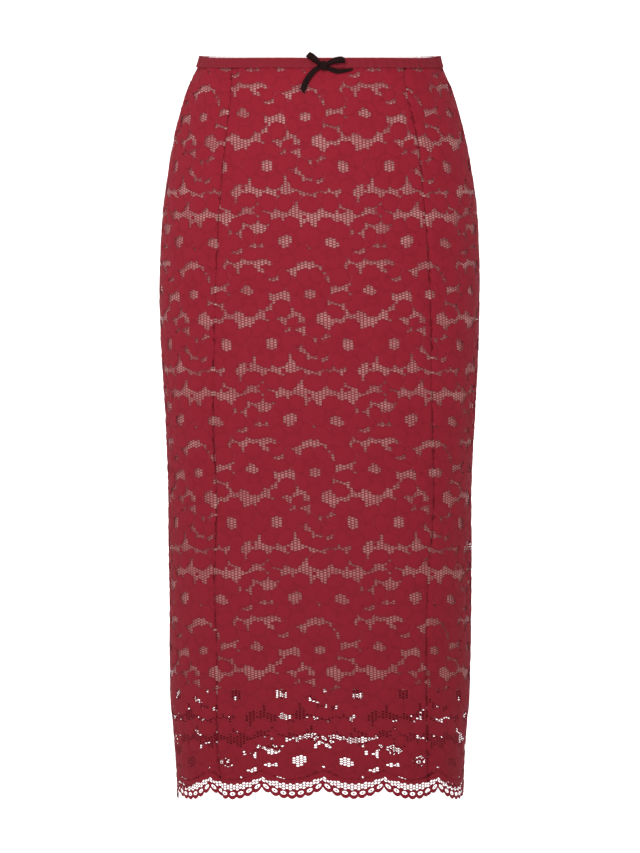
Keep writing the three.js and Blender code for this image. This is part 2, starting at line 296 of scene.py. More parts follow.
def chart_repeat():
    """Triangles of one repeat: x and y in mm, the height of the relief, and what each
    triangle is: 0 net, 0.5 the ground of the clothwork, 1 a petal or a leaf's middle."""
    solid, middles, raised, grooves = [], [], [], []
    for x, y, rx, ry, petals, first, (mx, my, mrx, mry, lean) in flowers:
        outline, petal_shapes, between = bloom(x, y, rx, ry, petals, first)
        solid.append(outline)
        raised += petal_shapes
        grooves += between
        middles.append(oval(x + mx, y + my, mrx, mry, 11, lean, 0.14))
    for x, y, long, wide, lean in leaves:
        solid.append(leaf(x, y, long, wide, lean))
        if wide > 6:
            raised.append(leaf(x, y, long * 0.84, wide * 0.78, lean, 5))
    for x, y in rings:
        solid.append(oval(x, y, 1.9, 1.9, 8))
    for x, y, rx, ry, start, end, half in stems:
        a = np.linspace(start, end, 9)
        outer = np.stack([x + (rx + half) * np.cos(a), y + (ry + half) * np.sin(a)], 1)
        inner = np.stack([x + (rx - half) * np.cos(a), y + (ry - half) * np.sin(a)], 1)
        solid.append(np.concatenate([outer, inner[::-1]]))

    wide, tall = repeat_wide, repeat_tall
    box = np.array([(0, -tall), (wide, -tall), (wide, 0), (0, 0)])

    def copies(shapes):
        out = []
        for s in shapes:
            for dx in (-wide, 0, wide):
                for dy in (-tall, 0, tall):
                    p = s + (dx, dy)
                    if (p[:, 0].max() > -1 and p[:, 0].min() < wide + 1
                            and p[:, 1].max() > -tall - 1 and p[:, 1].min() < 1):
                        out.append(p)
        return out

    solid, middles, raised = copies(solid), copies(middles), copies(raised)
    half = cell_tall / 2 - thread
    cell = np.array([(cell_wide / 2 - 1.7 * thread, 0), (cell_wide / 4 - 0.6 * thread, half),
                     (-cell_wide / 4 + 0.6 * thread, half), (-cell_wide / 2 + 1.7 * thread, 0),
                     (-cell_wide / 4 + 0.6 * thread, -half), (cell_wide / 4 - 0.6 * thread, -half)])
    holes = np.array([cell + (i * cell_step, -(j + 0.5 * (i % 2)) * cell_tall)
                      for i in range(-1, cells_across + 2) for j in range(-1, cells_up + 2)])
    corners = holes.reshape(-1, 2)
    covered = np.zeros(len(corners), bool)
    for s in solid:
        covered |= inside(corners, s)
    for s in middles:
        covered &= ~inside(corners, s)
    holes = list(holes[covered.reshape(-1, 6).sum(1) < 3])

    shapes = [box] + solid + middles + raised + holes
    firsts = np.cumsum([0] + [len(s) for s in shapes])
    kind = np.concatenate([np.full(len(group), k) for k, group in
                           enumerate(([box], solid, middles, raised, holes))])
    step = 10.0          # free points that let a broad petal follow the figure
    free = [(x + (5 if round(y / step) % 2 else 0), y)
            for x in np.arange(4, wide, step) for y in np.arange(-tall + 4, 0, step)]
    free += [(x % wide, -((-y) % tall)) for x, y in grooves]
    verts, _, tris, from_points, _, from_faces = delaunay_2d_cdt(
        [Vector(p) for q in shapes + [free] for p in q], [],
        [list(range(firsts[k], firsts[k + 1])) for k in range(len(shapes))], 1, 1e-4, True)
    xy = np.array([tuple(v) for v in verts])
    keep, what = [], []
    for tri, sources in zip(tris, from_faces):
        kinds = set(kind[sources])
        cloth = 1 in kinds and 2 not in kinds
        if 0 in kinds and (cloth or 4 not in kinds):
            keep.append(tri)
            what.append((0.5 + 0.5 * (3 in kinds)) if cloth else 0.0)
    tris, what = np.array(keep), np.array(what)
    touching, petals_touching = np.zeros(len(xy)), np.zeros(len(xy))
    np.add.at(touching, tris.ravel(), 1)
    np.add.at(petals_touching, tris[what == 1].ravel(), 1)
    height = np.where(petals_touching > 0, 0.26, 0.0)
    height[(petals_touching > 0) & (petals_touching == touching)] = 0.40
    return xy, tris, height, what


lace_xy, lace_tris, lace_height, lace_what = chart_repeat()


# --- The panels, cut from the cloth ---

front_seams = np.array([
    # z, how far the right and left front seams stand from the middle
    (20, 90.0, 86.0), (-40, 92.5, 89.5), (-92, 97.6, 100.6), (-150, 102.7, 107.5),
    (-240, 107.5, 113.3), (-390, 110.0, 116.5), (-460, 107.0, 118.0), (-550, 109.0, 111.8),
    (-630, 107.0, 110.0), (-710, 106.5, 111.0), (-800, 97.0, 113.0)])
quarter = math.pi / 2
hip_level = -235.0
row_of_flowers = 154.0   # rise of the lowest row of even flowers
off_grain = 0.028        # the repeat leans this much from upright
border_tight = 1.13      # the lowest flowers are knitted closer together
border_tall = 20.0


def seam_turn(column, way):
    def turn(z):
        return way * np.arcsin(smooth_column(front_seams, column, z)
                               / smooth_column(sections, 1, z))
    return turn


right_seam, left_seam = seam_turn(1, -1), seam_turn(2, 1)


def side_seam(turn):
    return lambda z: turn + 0 * z


def shift_from(middle, seam):
    """A side panel's repeat keeps its distance from its front seam."""
    hip = length_round(middle, seam(np.array(hip_level)), np.array(hip_level))
    return lambda z: length_round(middle, seam(z), z) - hip


def edge_length(middle, seam, rise, shift):
    z = level(middle + 0 * rise, rise)
    for _ in range(8):
        turn = seam(z)
        z = level(turn, rise)
    return length_round(middle, turn, z) - shift(z)


def relief_mesh(name, points, tris, what, cut):
    """A mesh from points and triangles, with its place on the cut cloth as its UV map."""
    mesh = bpy.data.meshes.new(name)
    mesh.vertices.add(len(points))
    mesh.vertices.foreach_set("co", points.astype(np.float32).ravel())
    mesh.loops.add(tris.size)
    mesh.loops.foreach_set("vertex_index", tris.astype(np.int32).ravel())
    mesh.polygons.add(len(tris))
    mesh.polygons.foreach_set("loop_start", np.arange(0, tris.size, 3, dtype=np.int32))
    uv = mesh.uv_layers.new(name="cut")
    uv.data.foreach_set("uv", (cut[tris.ravel()] * MM).astype(np.float32).ravel())
    mark = mesh.attributes.new("clothwork", "FLOAT", "FACE")
    mark.data.foreach_set("value", what.astype(np.float32))
    mesh.update(calc_edges=True)
    mesh.validate()
    mesh.polygons.foreach_set("use_smooth", np.ones(len(mesh.polygons), bool))
    obj = bpy.data.objects.new(name, mesh)
    bpy.context.scene.collection.objects.link(obj)
    return obj


def border_chart():
    """One lobe of the scalloped edge, laid straight: small lobes, a row of eyelets with a
    dot in each, a cord, and a crescent of net under a closely worked arch."""
    eyelets = 7
    pitch = lobe_pitch / eyelets
    s = np.linspace(0, lobe_pitch, eyelets * 6 + 1)
    edge = 2.3 * (1 - np.abs(np.sin(math.pi * s / pitch)) ** 0.8)
    level_line = s[::3]      # straight edges need points too, to follow the scallop
    ground = np.concatenate([np.stack([s, edge], 1),
                             np.stack([level_line, 0 * level_line + border_tall], 1)[::-1]])
    eyes = [oval(pitch * (k + 0.5), 5.7, 3.0, 1.9, 10) for k in range(eyelets)]
    dots = [oval(pitch * (k + 0.5), 5.5, 1.0, 0.9, 6) for k in range(eyelets)]
    crescent = np.array([(s, 9.2 + 3.6 + 4.2 * (1 - (2 * s / lobe_pitch - 1) ** 2))
                         for s in np.linspace(0, lobe_pitch, 13)])
    crescent = np.concatenate([np.stack([level_line, 0 * level_line + 8.4], 1), crescent[::-1]])
    columns = 18
    step = lobe_pitch / columns
    cell = np.array([(0.50, 0), (0.26, 0.36), (-0.26, 0.36), (-0.50, 0), (-0.26, -0.36),
                     (0.26, -0.36)]) * (step * 4 / 3 * 0.72, 2.5)
    net = np.array([cell + ((i + 0.5) * step, 9.9 + 2.5 * (j + 0.5 * (i % 2)))
                    for i in range(columns) for j in range(3)])
    net = list(net[inside(net.reshape(-1, 2), crescent).reshape(-1, 6).sum(1) > 4])
    free = [(x, y) for x in np.arange(1.5, lobe_pitch, 3.0) for y in (3.0, 18.0)]
    shapes = [ground] + eyes + dots + net + [crescent]
    firsts = np.cumsum([0] + [len(p) for p in shapes])
    kinds = np.concatenate([np.full(len(group), k) for k, group in
                            enumerate(([ground], eyes, dots, net, [crescent]))])
    verts, _, tris, _, _, sources = delaunay_2d_cdt(
        [Vector(p) for q in shapes + [free] for p in q], [],
        [list(range(firsts[k], firsts[k + 1])) for k in range(len(shapes))], 1, 1e-4, True)
    keep, what = [], []
    for tri, found in zip(tris, sources):
        found = set(kinds[found])
        if 0 in found and 3 not in found and not (1 in found and 2 not in found):
            keep.append(tri)
            what.append(0.0 if 4 in found else 0.9)
    xy = np.array([tuple(v) for v in verts])
    height = np.where((xy[:, 1] > 8.2) & (xy[:, 1] < 8.6), 0.5, np.where(xy[:, 1] < 8.2, 0.3, 0.1))
    return xy, np.array(keep), height, np.array(what)


border_xy, border_tris, border_height, border_what = border_chart()


def cut_lace(name, middle, low_seam, high_seam, shift, notch):
    """One panel: the repeat is laid over it, cut at its seams and moved on to the figure."""
    rises = np.linspace(0, cloth_length + 2, 160)
    low = edge_length(middle, low_seam, rises, shift)
    high = edge_length(middle, high_seam, rises, shift)
    grain = (lambda z: off_grain * (z + 611) + repeat_wide / 2) if middle == 0 else (lambda z: 0 * z)
    points, tris, heights, marks = [], [], [], []
    first = 0

    def add(xy, faces, height, what):
        nonlocal first
        good = ((xy[:, 0] > np.interp(xy[:, 1], rises, low) - 0.01)
                & (xy[:, 0] < np.interp(xy[:, 1], rises, high) + 0.01)
                & (xy[:, 1] > -0.5) & (xy[:, 1] < cloth_length + 2))
        good = good[faces].any(1)
        used, faces = np.unique(faces[good], return_inverse=True)
        points.append(xy[used])
        heights.append(height[used])
        marks.append(what[good])
        tris.append(faces.reshape(-1, 3) + first)
        first += len(used)

    for row in range(-1, 5):
        for column in range(-5, 6):
            xy = lace_xy + (column * repeat_wide, row * repeat_tall)
            rise = row_of_flowers + np.where(xy[:, 1] < 0, xy[:, 1] / border_tight, xy[:, 1])
            length = xy[:, 0] - grain(hem_front + rise)
            if (rise.max() < 0 or rise.min() > cloth_length + 2
                    or length.max() < low.min() or length.min() > high.max()):
                continue
            rise = np.clip(rise, scallop(length, notch) + border_tall, cloth_length + 2)
            add(np.stack([length, rise], 1), lace_tris, lace_height, lace_what)
    for lobe in range(-8, 9):
        length = border_xy[:, 0] + notch + lobe * lobe_pitch
        add(np.stack([length, border_xy[:, 1] + scallop(length, notch)], 1),
            border_tris, border_height, border_what)

    uv, faces = np.concatenate(points), np.concatenate(tris)
    height, what = np.concatenate(heights), np.concatenate(marks)
    uv[:, 0] = np.clip(uv[:, 0], np.interp(uv[:, 1], rises, low), np.interp(uv[:, 1], rises, high))
    # one point where two copies of the repeat meet, and no slivers
    _, keep, same = np.unique(np.round(uv / 0.004).astype(np.int64), axis=0,
                              return_index=True, return_inverse=True)
    uv, height, faces = uv[keep], height[keep], same.ravel()[faces]
    a, b, c = (uv[faces[:, k]] for k in range(3))
    area = 0.5 * ((b - a)[:, 0] * (c - a)[:, 1] - (b - a)[:, 1] * (c - a)[:, 0])
    real = np.abs(area) > 0.004
    used, faces = np.unique(faces[real], return_inverse=True)
    faces = faces.reshape(-1, 3)
    uv, height = uv[used], height[used]

    turn, z = turn_for(middle, uv[:, 0], uv[:, 1], shift)
    near_seam = np.minimum(uv[:, 0] - np.interp(uv[:, 1], rises, low),
                           np.interp(uv[:, 1], rises, high) - uv[:, 0])
    tucked = -1.7 * np.exp(-(near_seam / 1.5) ** 2)
    what = what[real]
    # painted shade: faces within 0.8 mm of a seam are marked 0.3, and the lace material colours them dark
    # as the shade in the tucked seam groove
    what[near_seam[faces].mean(1) < 0.8] = 0.3
    return relief_mesh(name, off_figure(turn, z, -0.6 + height + tucked), faces, what, uv)


def node_sum(nodes, links, a, b, how="MULTIPLY"):
    """A maths node fed by a socket and a number or another socket."""
    node = nodes.new("ShaderNodeMath")
    node.operation = how
    for socket, value in zip(node.inputs, (a, b)):
        if isinstance(value, (int, float)):
            socket.default_value = value
        else:
            links.new(value, socket)
    return node.outputs[0]


def blend_colours(nodes, links, factor, a, b, how="MIX"):
    node = nodes.new("ShaderNodeMix")
    node.data_type, node.blend_type = "RGBA", how
    for socket, value in zip((node.inputs[0], node.inputs[6], node.inputs[7]), (factor, a, b)):
        if isinstance(value, (int, float)):
            socket.default_value = value
        elif isinstance(value, tuple):
            socket.default_value = (*value, 1)
        else:
            links.new(value, socket)
    return node.outputs[2]


def srgb(red, green, blue):
    """A colour as it looks, given out of 255, as a linear one."""
    return tuple((c / 255 / 12.92) if c <= 10 else ((c / 255 + 0.055) / 1.055) ** 2.4
                 for c in (red, green, blue))


def crimson_knit():
    """Crimson thread, close and smooth in the clothwork and rounder in the net. Shade is painted into its
    colour: darker towards the bottom, in the seam grooves, on the low ground round the petals and between
    the stitch loops.
    """
    material = bpy.data.materials.new("crimson_lace")
    material.use_nodes = True
    nodes, links = material.node_tree.nodes, material.node_tree.links
    shader = nodes["Principled BSDF"]
    shader.inputs["Roughness"].default_value = 0.75
    shader.inputs["Specular IOR Level"].default_value = 0.06
    shader.inputs["Sheen Weight"].default_value = 0.02
    shader.inputs["Sheen Roughness"].default_value = 0.5
    shader.inputs["Sheen Tint"].default_value = (*srgb(255, 170, 175), 1)
    uv = nodes.new("ShaderNodeUVMap")
    uv.uv_map = "cut"
    place = nodes.new("ShaderNodeTexCoord").outputs["Object"]
    mark = nodes.new("ShaderNodeAttribute")     # 0 net, 0.3 seam, 0.5 ground, 1 petal
    mark.attribute_name = "clothwork"
    stitches = nodes.new("ShaderNodeMapping")
    stitches.inputs["Scale"].default_value = (2600, 1500, 1)
    links.new(uv.outputs[0], stitches.inputs["Vector"])
    loops = nodes.new("ShaderNodeTexVoronoi")
    loops.inputs["Scale"].default_value = 1.0
    loops.inputs["Randomness"].default_value = 0.35
    links.new(stitches.outputs[0], loops.inputs["Vector"])
    cloudy = nodes.new("ShaderNodeTexNoise")
    cloudy.inputs["Scale"].default_value = 60
    cloudy.inputs["Detail"].default_value = 4
    links.new(place, cloudy.inputs["Vector"])
    height = nodes.new("ShaderNodeSeparateXYZ")
    links.new(place, height.inputs[0])
    # painted shade: the thread's colour darkens towards the bottom of the skirt, standing in for light
    # that falls from above
    painted_shade_by_height = nodes.new("ShaderNodeMapRange")
    painted_shade_by_height.inputs["From Min"].default_value = -0.78
    painted_shade_by_height.inputs["From Max"].default_value = -0.05
    links.new(height.outputs["Z"], painted_shade_by_height.inputs["Value"])
    solid = blend_colours(nodes, links, painted_shade_by_height.outputs[0], srgb(126, 29, 41), srgb(148, 32, 47))
    net = blend_colours(nodes, links, painted_shade_by_height.outputs[0], srgb(128, 34, 45), srgb(150, 44, 57))
    # painted shade by the kind of face: the seam groove (0.3) dark, the low ground round the raised petals
    # (0.5) a little darker, the net a shade under full, the petals full
    painted_shade_by_kind = nodes.new("ShaderNodeValToRGB")
    painted_shade_by_kind.color_ramp.interpolation = "CONSTANT"
    for at, grey in ((0.2, 0.45), (0.4, 0.90), (0.7, 1.0)):
        painted_shade_by_kind.color_ramp.elements.new(at).color = (grey, grey, grey, 1)
    painted_shade_by_kind.color_ramp.elements[0].color = (0.95, 0.95, 0.95, 1)
    links.new(mark.outputs["Fac"], painted_shade_by_kind.inputs[0])
    worked = node_sum(nodes, links, mark.outputs["Fac"], 0.2, "GREATER_THAN")
    colour = blend_colours(nodes, links, worked, net, solid)
    colour = blend_colours(nodes, links, 1.0, colour, painted_shade_by_kind.outputs["Color"], "MULTIPLY")
    uneven = node_sum(nodes, links, cloudy.outputs["Fac"], 0.22)
    colour = blend_colours(nodes, links, uneven, colour, srgb(98, 22, 33))
    # painted shade: the colour darkens towards the edges of each stitch loop, where the bump below sinks
    between = node_sum(nodes, links, loops.outputs["Distance"], 0.30)
    colour = blend_colours(nodes, links, between, colour, srgb(70, 12, 22))
    links.new(colour, shader.inputs["Base Color"])
    bump = nodes.new("ShaderNodeBump")
    bump.inputs["Strength"].default_value = 0.35
    bump.inputs["Distance"].default_value = 0.0003
    bump.invert = True
    links.new(loops.outputs["Distance"], bump.inputs["Height"])
    links.new(bump.outputs[0], shader.inputs["Normal"])
    return material


lace_material = crimson_knit()


def finish_piece(obj, material, slot, *nodes):
    obj.data.materials.clear()
    obj.data.materials.append(material)
    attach(obj, "root")
    if nodes:
        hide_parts(*nodes)
    return obj


no_shift = lambda z: 0 * z

# ---------------------------------------------------------------------------
# The front centre panel, from one front seam to the other, with the flowers
# running a little off the grain.
# ---------------------------------------------------------------------------
centre = cut_lace("lace_front_centre", 0.0, right_seam, left_seam, no_shift, front_notch)
finish_piece(centre, lace_material, "lace", "front_centre_panel")

# ---------------------------------------------------------------------------
# The two front side panels, each from its front seam back to the side seam.
# ---------------------------------------------------------------------------
side_right = cut_lace("lace_front_side_right", 0.0, side_seam(-quarter), right_seam,
                      shift_from(0.0, right_seam), front_notch)
finish_piece(side_right, lace_material, "lace", "front_side_panel_right")

side_left = cut_lace("lace_front_side_left", 0.0, left_seam, side_seam(quarter),
                     shift_from(0.0, left_seam), front_notch)
finish_piece(side_left, lace_material, "lace", "front_side_panel_left")

# ---------------------------------------------------------------------------
# The back panel, in one piece from side seam to side seam.
# ---------------------------------------------------------------------------
back = cut_lace("lace_back", math.pi, side_seam(quarter), side_seam(3 * quarter), no_shift, 0.0)
finish_piece(back, lace_material, "lace", "back_panel")

# ---------------------------------------------------------------------------
# The slip lining: smooth nude knit with a soft lustre, a front and a back half
# seamed at the sides, caught in under the elastic and ending above the hem in
# a narrow turned hem. It hangs free, so it wrinkles a little across.
# ---------------------------------------------------------------------------
lining_waves = np.random.default_rng(11).uniform((3, 0.010, 0, 0.2), (13, 0.05, 6.28, 1.0), (12, 4))


# The slip's lustre comes partly from the shader's sheen and partly from highlights and shade painted into
# its colour.
def nude_knit():
    material = bpy.data.materials.new("nude_lining")
    material.use_nodes = True
    nodes, links = material.node_tree.nodes, material.node_tree.links
    shader = nodes["Principled BSDF"]
    shader.inputs["Roughness"].default_value = 0.46
    shader.inputs["Specular IOR Level"].default_value = 0.5
    shader.inputs["Sheen Weight"].default_value = 0.25
    shader.inputs["Sheen Roughness"].default_value = 0.4
    place = nodes.new("ShaderNodeTexCoord").outputs["Object"]
    ribs = nodes.new("ShaderNodeMapping")
    ribs.inputs["Scale"].default_value = (900, 900, 260)
    links.new(place, ribs.inputs["Vector"])
    stitches = nodes.new("ShaderNodeTexNoise")
    stitches.inputs["Scale"].default_value = 1.0
    stitches.inputs["Detail"].default_value = 2
    links.new(ribs.outputs[0], stitches.inputs["Vector"])
    # painted sheen and shade: broad patches, longer round the slip than up it, mix a darker nude into the
    # pale base, so the slip looks glossy in the pale places and shaded in the dark ones
    painted_sheen_patches = nodes.new("ShaderNodeTexNoise")
    painted_sheen_patches.inputs["Scale"].default_value = 1.0
    painted_sheen_patches.inputs["Detail"].default_value = 3
    sheen_patch_stretch = nodes.new("ShaderNodeMapping")
    sheen_patch_stretch.inputs["Scale"].default_value = (38, 38, 95)
    links.new(place, sheen_patch_stretch.inputs["Vector"])
    links.new(sheen_patch_stretch.outputs[0], painted_sheen_patches.inputs["Vector"])
    sheen_patch_strength = nodes.new("ShaderNodeMapRange")
    sheen_patch_strength.inputs["From Min"].default_value = 0.36
    sheen_patch_strength.inputs["From Max"].default_value = 0.62
    links.new(painted_sheen_patches.outputs["Fac"], sheen_patch_strength.inputs["Value"])
    height = nodes.new("ShaderNodeSeparateXYZ")
    links.new(place, height.inputs[0])
    # painted shade: the slip's colour is paler at the top and darker towards the bottom
    painted_shade_by_height = nodes.new("ShaderNodeMapRange")
    painted_shade_by_height.inputs["From Min"].default_value = -0.66
    painted_shade_by_height.inputs["From Max"].default_value = -0.05
    links.new(height.outputs["Z"], painted_shade_by_height.inputs["Value"])
    colour = blend_colours(nodes, links, painted_shade_by_height.outputs[0], srgb(205, 148, 142), srgb(238, 192, 184))
    colour = blend_colours(nodes, links, node_sum(nodes, links, sheen_patch_strength.outputs[0], 0.62),
                           colour, srgb(166, 96, 96))
    # the fine knit texture, lighter where its bump stands up: a painted highlight on the raised stitches
    colour = blend_colours(nodes, links, node_sum(nodes, links, stitches.outputs["Fac"], 0.25),
                           colour, srgb(250, 214, 206))
    links.new(colour, shader.inputs["Base Color"])
    bump = nodes.new("ShaderNodeBump")
    bump.inputs["Strength"].default_value = 0.3
    bump.inputs["Distance"].default_value = 0.0004
    links.new(stitches.outputs["Fac"], bump.inputs["Height"])
    links.new(bump.outputs[0], shader.inputs["Normal"])
    return material


lining_material = nude_knit()


def cut_lining(name, first_turn, columns, rows):
    """Half of the slip, hung inside the lace, with its hem turned up inside."""
    turns = np.linspace(first_turn, first_turn + math.pi, columns)
    c = np.cos(turns)
    top = band_foot(turns) + 7
    foot = np.where(c > 0, -665 + 11 * c, -665 + 5 * c * c)
    down = np.concatenate([np.linspace(0, 1, rows), 1 - np.array([0.0, 0.012, 0.025])])
    inward = np.concatenate([np.zeros(rows), np.array([0.5, 1.0, 1.0])])
    t = np.broadcast_to(turns, (len(down), columns))
    z = top + (foot - top) * down[:, None]
    wrinkles = 0
    for n, w, p, k in lining_waves:
        wrinkles = wrinkles + k * np.sin(n * t + w * z + p + 1.3 * np.sin(3 * t + 0.012 * z))
    free = np.clip((top - z) / 60, 0, 1)
    out = -2.75 + 0.13 * wrinkles * free - 0.15 * free - inward[:, None]
    p = off_figure(t, z, out)
    obj_mesh = bpy.data.meshes.new(name)
    index = np.arange(len(down) * columns).reshape(len(down), columns)
    quads = np.stack([index[:-1, :-1], index[1:, :-1], index[1:, 1:], index[:-1, 1:]], -1)
    obj_mesh.from_pydata(p.reshape(-1, 3).tolist(), [], quads.reshape(-1, 4).tolist())
    obj_mesh.polygons.foreach_set("use_smooth", np.ones(len(obj_mesh.polygons), bool))
    obj = bpy.data.objects.new(name, obj_mesh)
    bpy.context.scene.collection.objects.link(obj)
    return obj


lining_front = cut_lining("slip_front", -quarter, 121, 150)
finish_piece(lining_front, lining_material, "lining", "lining_front")
lining_back = cut_lining("slip_back", quarter, 121, 150)
finish_piece(lining_back, lining_material, "lining", "lining_back")

# ---------------------------------------------------------------------------
# The waist elastic: narrow woven elastic joined in a ring, ribbed lengthwise,
# with a row of small thread loops along its top edge, stitched over the lace.
# ---------------------------------------------------------------------------


def woven_elastic():
    material = bpy.data.materials.new("elastic")
    material.use_nodes = True
    nodes, links = material.node_tree.nodes, material.node_tree.links
    shader = nodes["Principled BSDF"]
    shader.inputs["Roughness"].default_value = 0.8
    shader.inputs["Specular IOR Level"].default_value = 0.08
    uv = nodes.new("ShaderNodeUVMap")
    uv.uv_map = "cut"
    weave = nodes.new("ShaderNodeMapping")
    weave.inputs["Scale"].default_value = (1300, 900, 1)
    links.new(uv.outputs[0], weave.inputs["Vector"])
    knots = nodes.new("ShaderNodeTexVoronoi")
    knots.inputs["Scale"].default_value = 1.0
    knots.inputs["Randomness"].default_value = 0.25
    links.new(weave.outputs[0], knots.inputs["Vector"])
    # painted shade: the weave darkens towards the edges of each knot, where the bump sinks
    colour = blend_colours(nodes, links, node_sum(nodes, links, knots.outputs["Distance"], 0.8),
                           srgb(140, 38, 50), srgb(78, 14, 24))
    links.new(colour, shader.inputs["Base Color"])
    bump = nodes.new("ShaderNodeBump")
    bump.inputs["Strength"].default_value = 0.5
    bump.inputs["Distance"].default_value = 0.0003
    bump.invert = True
    links.new(knots.outputs["Distance"], bump.inputs["Height"])
    links.new(bump.outputs[0], shader.inputs["Normal"])
    return material


def elastic_band():
    """The woven band on the waist of the figure, thin and ribbed on its outside."""
    count = 660
    turns = np.linspace(0, 2 * math.pi, count, endpoint=False)
    profile = []
    for k in range(19):
        h = k / 18
        profile.append((h * band_height, 0.78 + 0.14 * math.cos(2 * math.pi * h * 4.5)
                        - 0.3 * max(0, abs(2 * h - 1) - 0.8) / 0.2))
    profile += [(band_height, 0.1), (band_height - 0.5, -0.35), (0.5, -0.35), (0.0, 0.1)]
    up, out = np.array(profile).T
    t = np.broadcast_to(turns[:, None], (count, len(profile)))
    puckers = 0.10 * np.sin(150 * t + 1.5 * np.sin(7 * t)) * np.exp(-((up - 1.6) / 1.2) ** 2)
    points = off_figure(t, band_foot(t) + up, out + puckers).reshape(-1, 3)
    cut = np.stack([t * 112, 0 * t + up], -1).reshape(-1, 2)
    here = np.arange(len(points)).reshape(t.shape)
    there = np.roll(here, -1, 0)
    a, b, c, d = (q.ravel() for q in (here, there, np.roll(there, -1, 1), np.roll(here, -1, 1)))
    tris = np.concatenate([np.stack([a, b, c], 1), np.stack([a, c, d], 1)])
    return relief_mesh("woven_band", points, tris, np.ones(len(tris)), cut)


def picot_loops():
    """A small arch of thread for each loop along the top edge of the band."""
    loops, sides, stations, thick = 320, 5, 9, 0.24
    bend = np.linspace(0, math.pi, stations)
    arch = np.stack([0.86 * np.cos(bend), band_height - 0.3 + 2.0 * np.sin(bend) ** 0.8], 1)
    ahead = np.gradient(arch, axis=0)
    ahead /= np.linalg.norm(ahead, axis=1, keepdims=True)
    angle = np.linspace(0, 2 * math.pi, sides, endpoint=False)
    across = arch[:, None] + thick * np.cos(angle)[None, :, None] * np.stack(
        [ahead[:, 1], -ahead[:, 0]], 1)[:, None]
    middles = 2 * math.pi * (np.arange(loops) + 0.5) / loops
    t = middles[:, None, None] + across[None, ..., 0] / 112
    points = off_figure(t, band_foot(t) + across[..., 1],
                        0.35 + thick * np.sin(angle) + 0 * t).reshape(-1, 3)
    cut = np.stack([t * 112, 0 * t + across[..., 1]], -1).reshape(-1, 2)
    index = np.arange(len(points)).reshape(loops, stations, sides)
    near = np.roll(index, -1, 2)
    a, b, c, d = (q.ravel() for q in (index[:, :-1], index[:, 1:], near[:, 1:], near[:, :-1]))
    tris = np.concatenate([np.stack([a, b, c], 1), np.stack([a, c, d], 1)])
    return relief_mesh("picot_loops", points, tris, np.ones(len(tris)), cut)


elastic_material = woven_elastic()
elastic = elastic_band()
picots = picot_loops()
finish_piece(elastic, elastic_material, "waist_elastic", "waist_elastic")
finish_piece(picots, elastic_material, "waist_elastic")

# ---------------------------------------------------------------------------
# The bow, of 6 mm black velvet ribbon: a loop and a tail to each side of a
# knot, tacked to the middle of the waist elastic.
# ---------------------------------------------------------------------------
knot_x, knot_z = 3.7, -18.7


def by_knot(x, z, out):
    """A point `x` and `z` from the knot's middle and `out` from the cloth, in metres."""
    x, z, out = np.broadcast_arrays(np.asarray(x, float), z, out)
    turn = np.arcsin((knot_x + x) / smooth_column(sections, 1, knot_z + z))
    return off_figure(turn, knot_z + z, out)


def velvet_pile():
    material = bpy.data.materials.new("velvet")
    material.use_nodes = True
    nodes, links = material.node_tree.nodes, material.node_tree.links
    shader = nodes["Principled BSDF"]
    shader.inputs["Roughness"].default_value = 0.85
    shader.inputs["Specular IOR Level"].default_value = 0.08
    shader.inputs["Sheen Weight"].default_value = 0.10
    shader.inputs["Sheen Roughness"].default_value = 0.35
    shader.inputs["Sheen Tint"].default_value = (*srgb(190, 120, 112), 1)
    place = nodes.new("ShaderNodeTexCoord").outputs["Object"]
    pile = nodes.new("ShaderNodeTexNoise")
    pile.inputs["Scale"].default_value = 1900
    pile.inputs["Detail"].default_value = 3
    links.new(place, pile.inputs["Vector"])
    brushed = nodes.new("ShaderNodeTexNoise")
    brushed.inputs["Scale"].default_value = 330
    links.new(place, brushed.inputs["Vector"])
    colour = blend_colours(nodes, links, brushed.outputs["Fac"], srgb(14, 7, 8), srgb(44, 22, 21))
    colour = blend_colours(nodes, links, node_sum(nodes, links, pile.outputs["Fac"], 0.5),
                           colour, srgb(20, 10, 11))
    links.new(colour, shader.inputs["Base Color"])
    bump = nodes.new("ShaderNodeBump")
    bump.inputs["Strength"].default_value = 0.6
    bump.inputs["Distance"].default_value = 0.0003
    links.new(pile.outputs["Fac"], bump.inputs["Height"])
    links.new(bump.outputs[0], shader.inputs["Normal"])
    return material


velvet = velvet_pile()


def ribbon(name, centres, sides, widths, thick=0.9):
    """A velvet ribbon along its centres, with soft woven edges."""
    centres, sides = np.array(centres), np.array(sides)
    ahead = np.gradient(centres, axis=0)
    ahead /= np.linalg.norm(ahead, axis=1, keepdims=True)
    sides = sides - (sides * ahead).sum(1, keepdims=True) * ahead
    sides /= np.linalg.norm(sides, axis=1, keepdims=True)
    up = np.cross(ahead, sides)
    across = np.linspace(-1, 1, 9)
    bulge = thick / 2 * (1 - 0.55 * np.abs(across) ** 6)
    rim = [(w, h) for w, h in zip(across, bulge)] + [(w, -h) for w, h in zip(across, bulge)][::-1]
    b = bmesh.new()
    rings = []
    for c, s, u, w in zip(centres, sides, up, widths):
        rings.append([b.verts.new(tuple(c + s * (x * w / 2 * MM) + u * (y * MM))) for x, y in rim])
    for one, two in zip(rings, rings[1:]):
        for k in range(len(rim)):
            j = (k + 1) % len(rim)
            b.faces.new((one[k], one[j], two[j], two[k]))
    b.faces.new(rings[0][::-1])
    b.faces.new(rings[-1])
    bmesh.ops.recalc_face_normals(b, faces=b.faces)
    for f in b.faces:
        f.smooth = True
    mesh = bpy.data.meshes.new(name)
    b.to_mesh(mesh)
    b.free()
    obj = bpy.data.objects.new(name, mesh)
    bpy.context.scene.collection.objects.link(obj)
    return obj


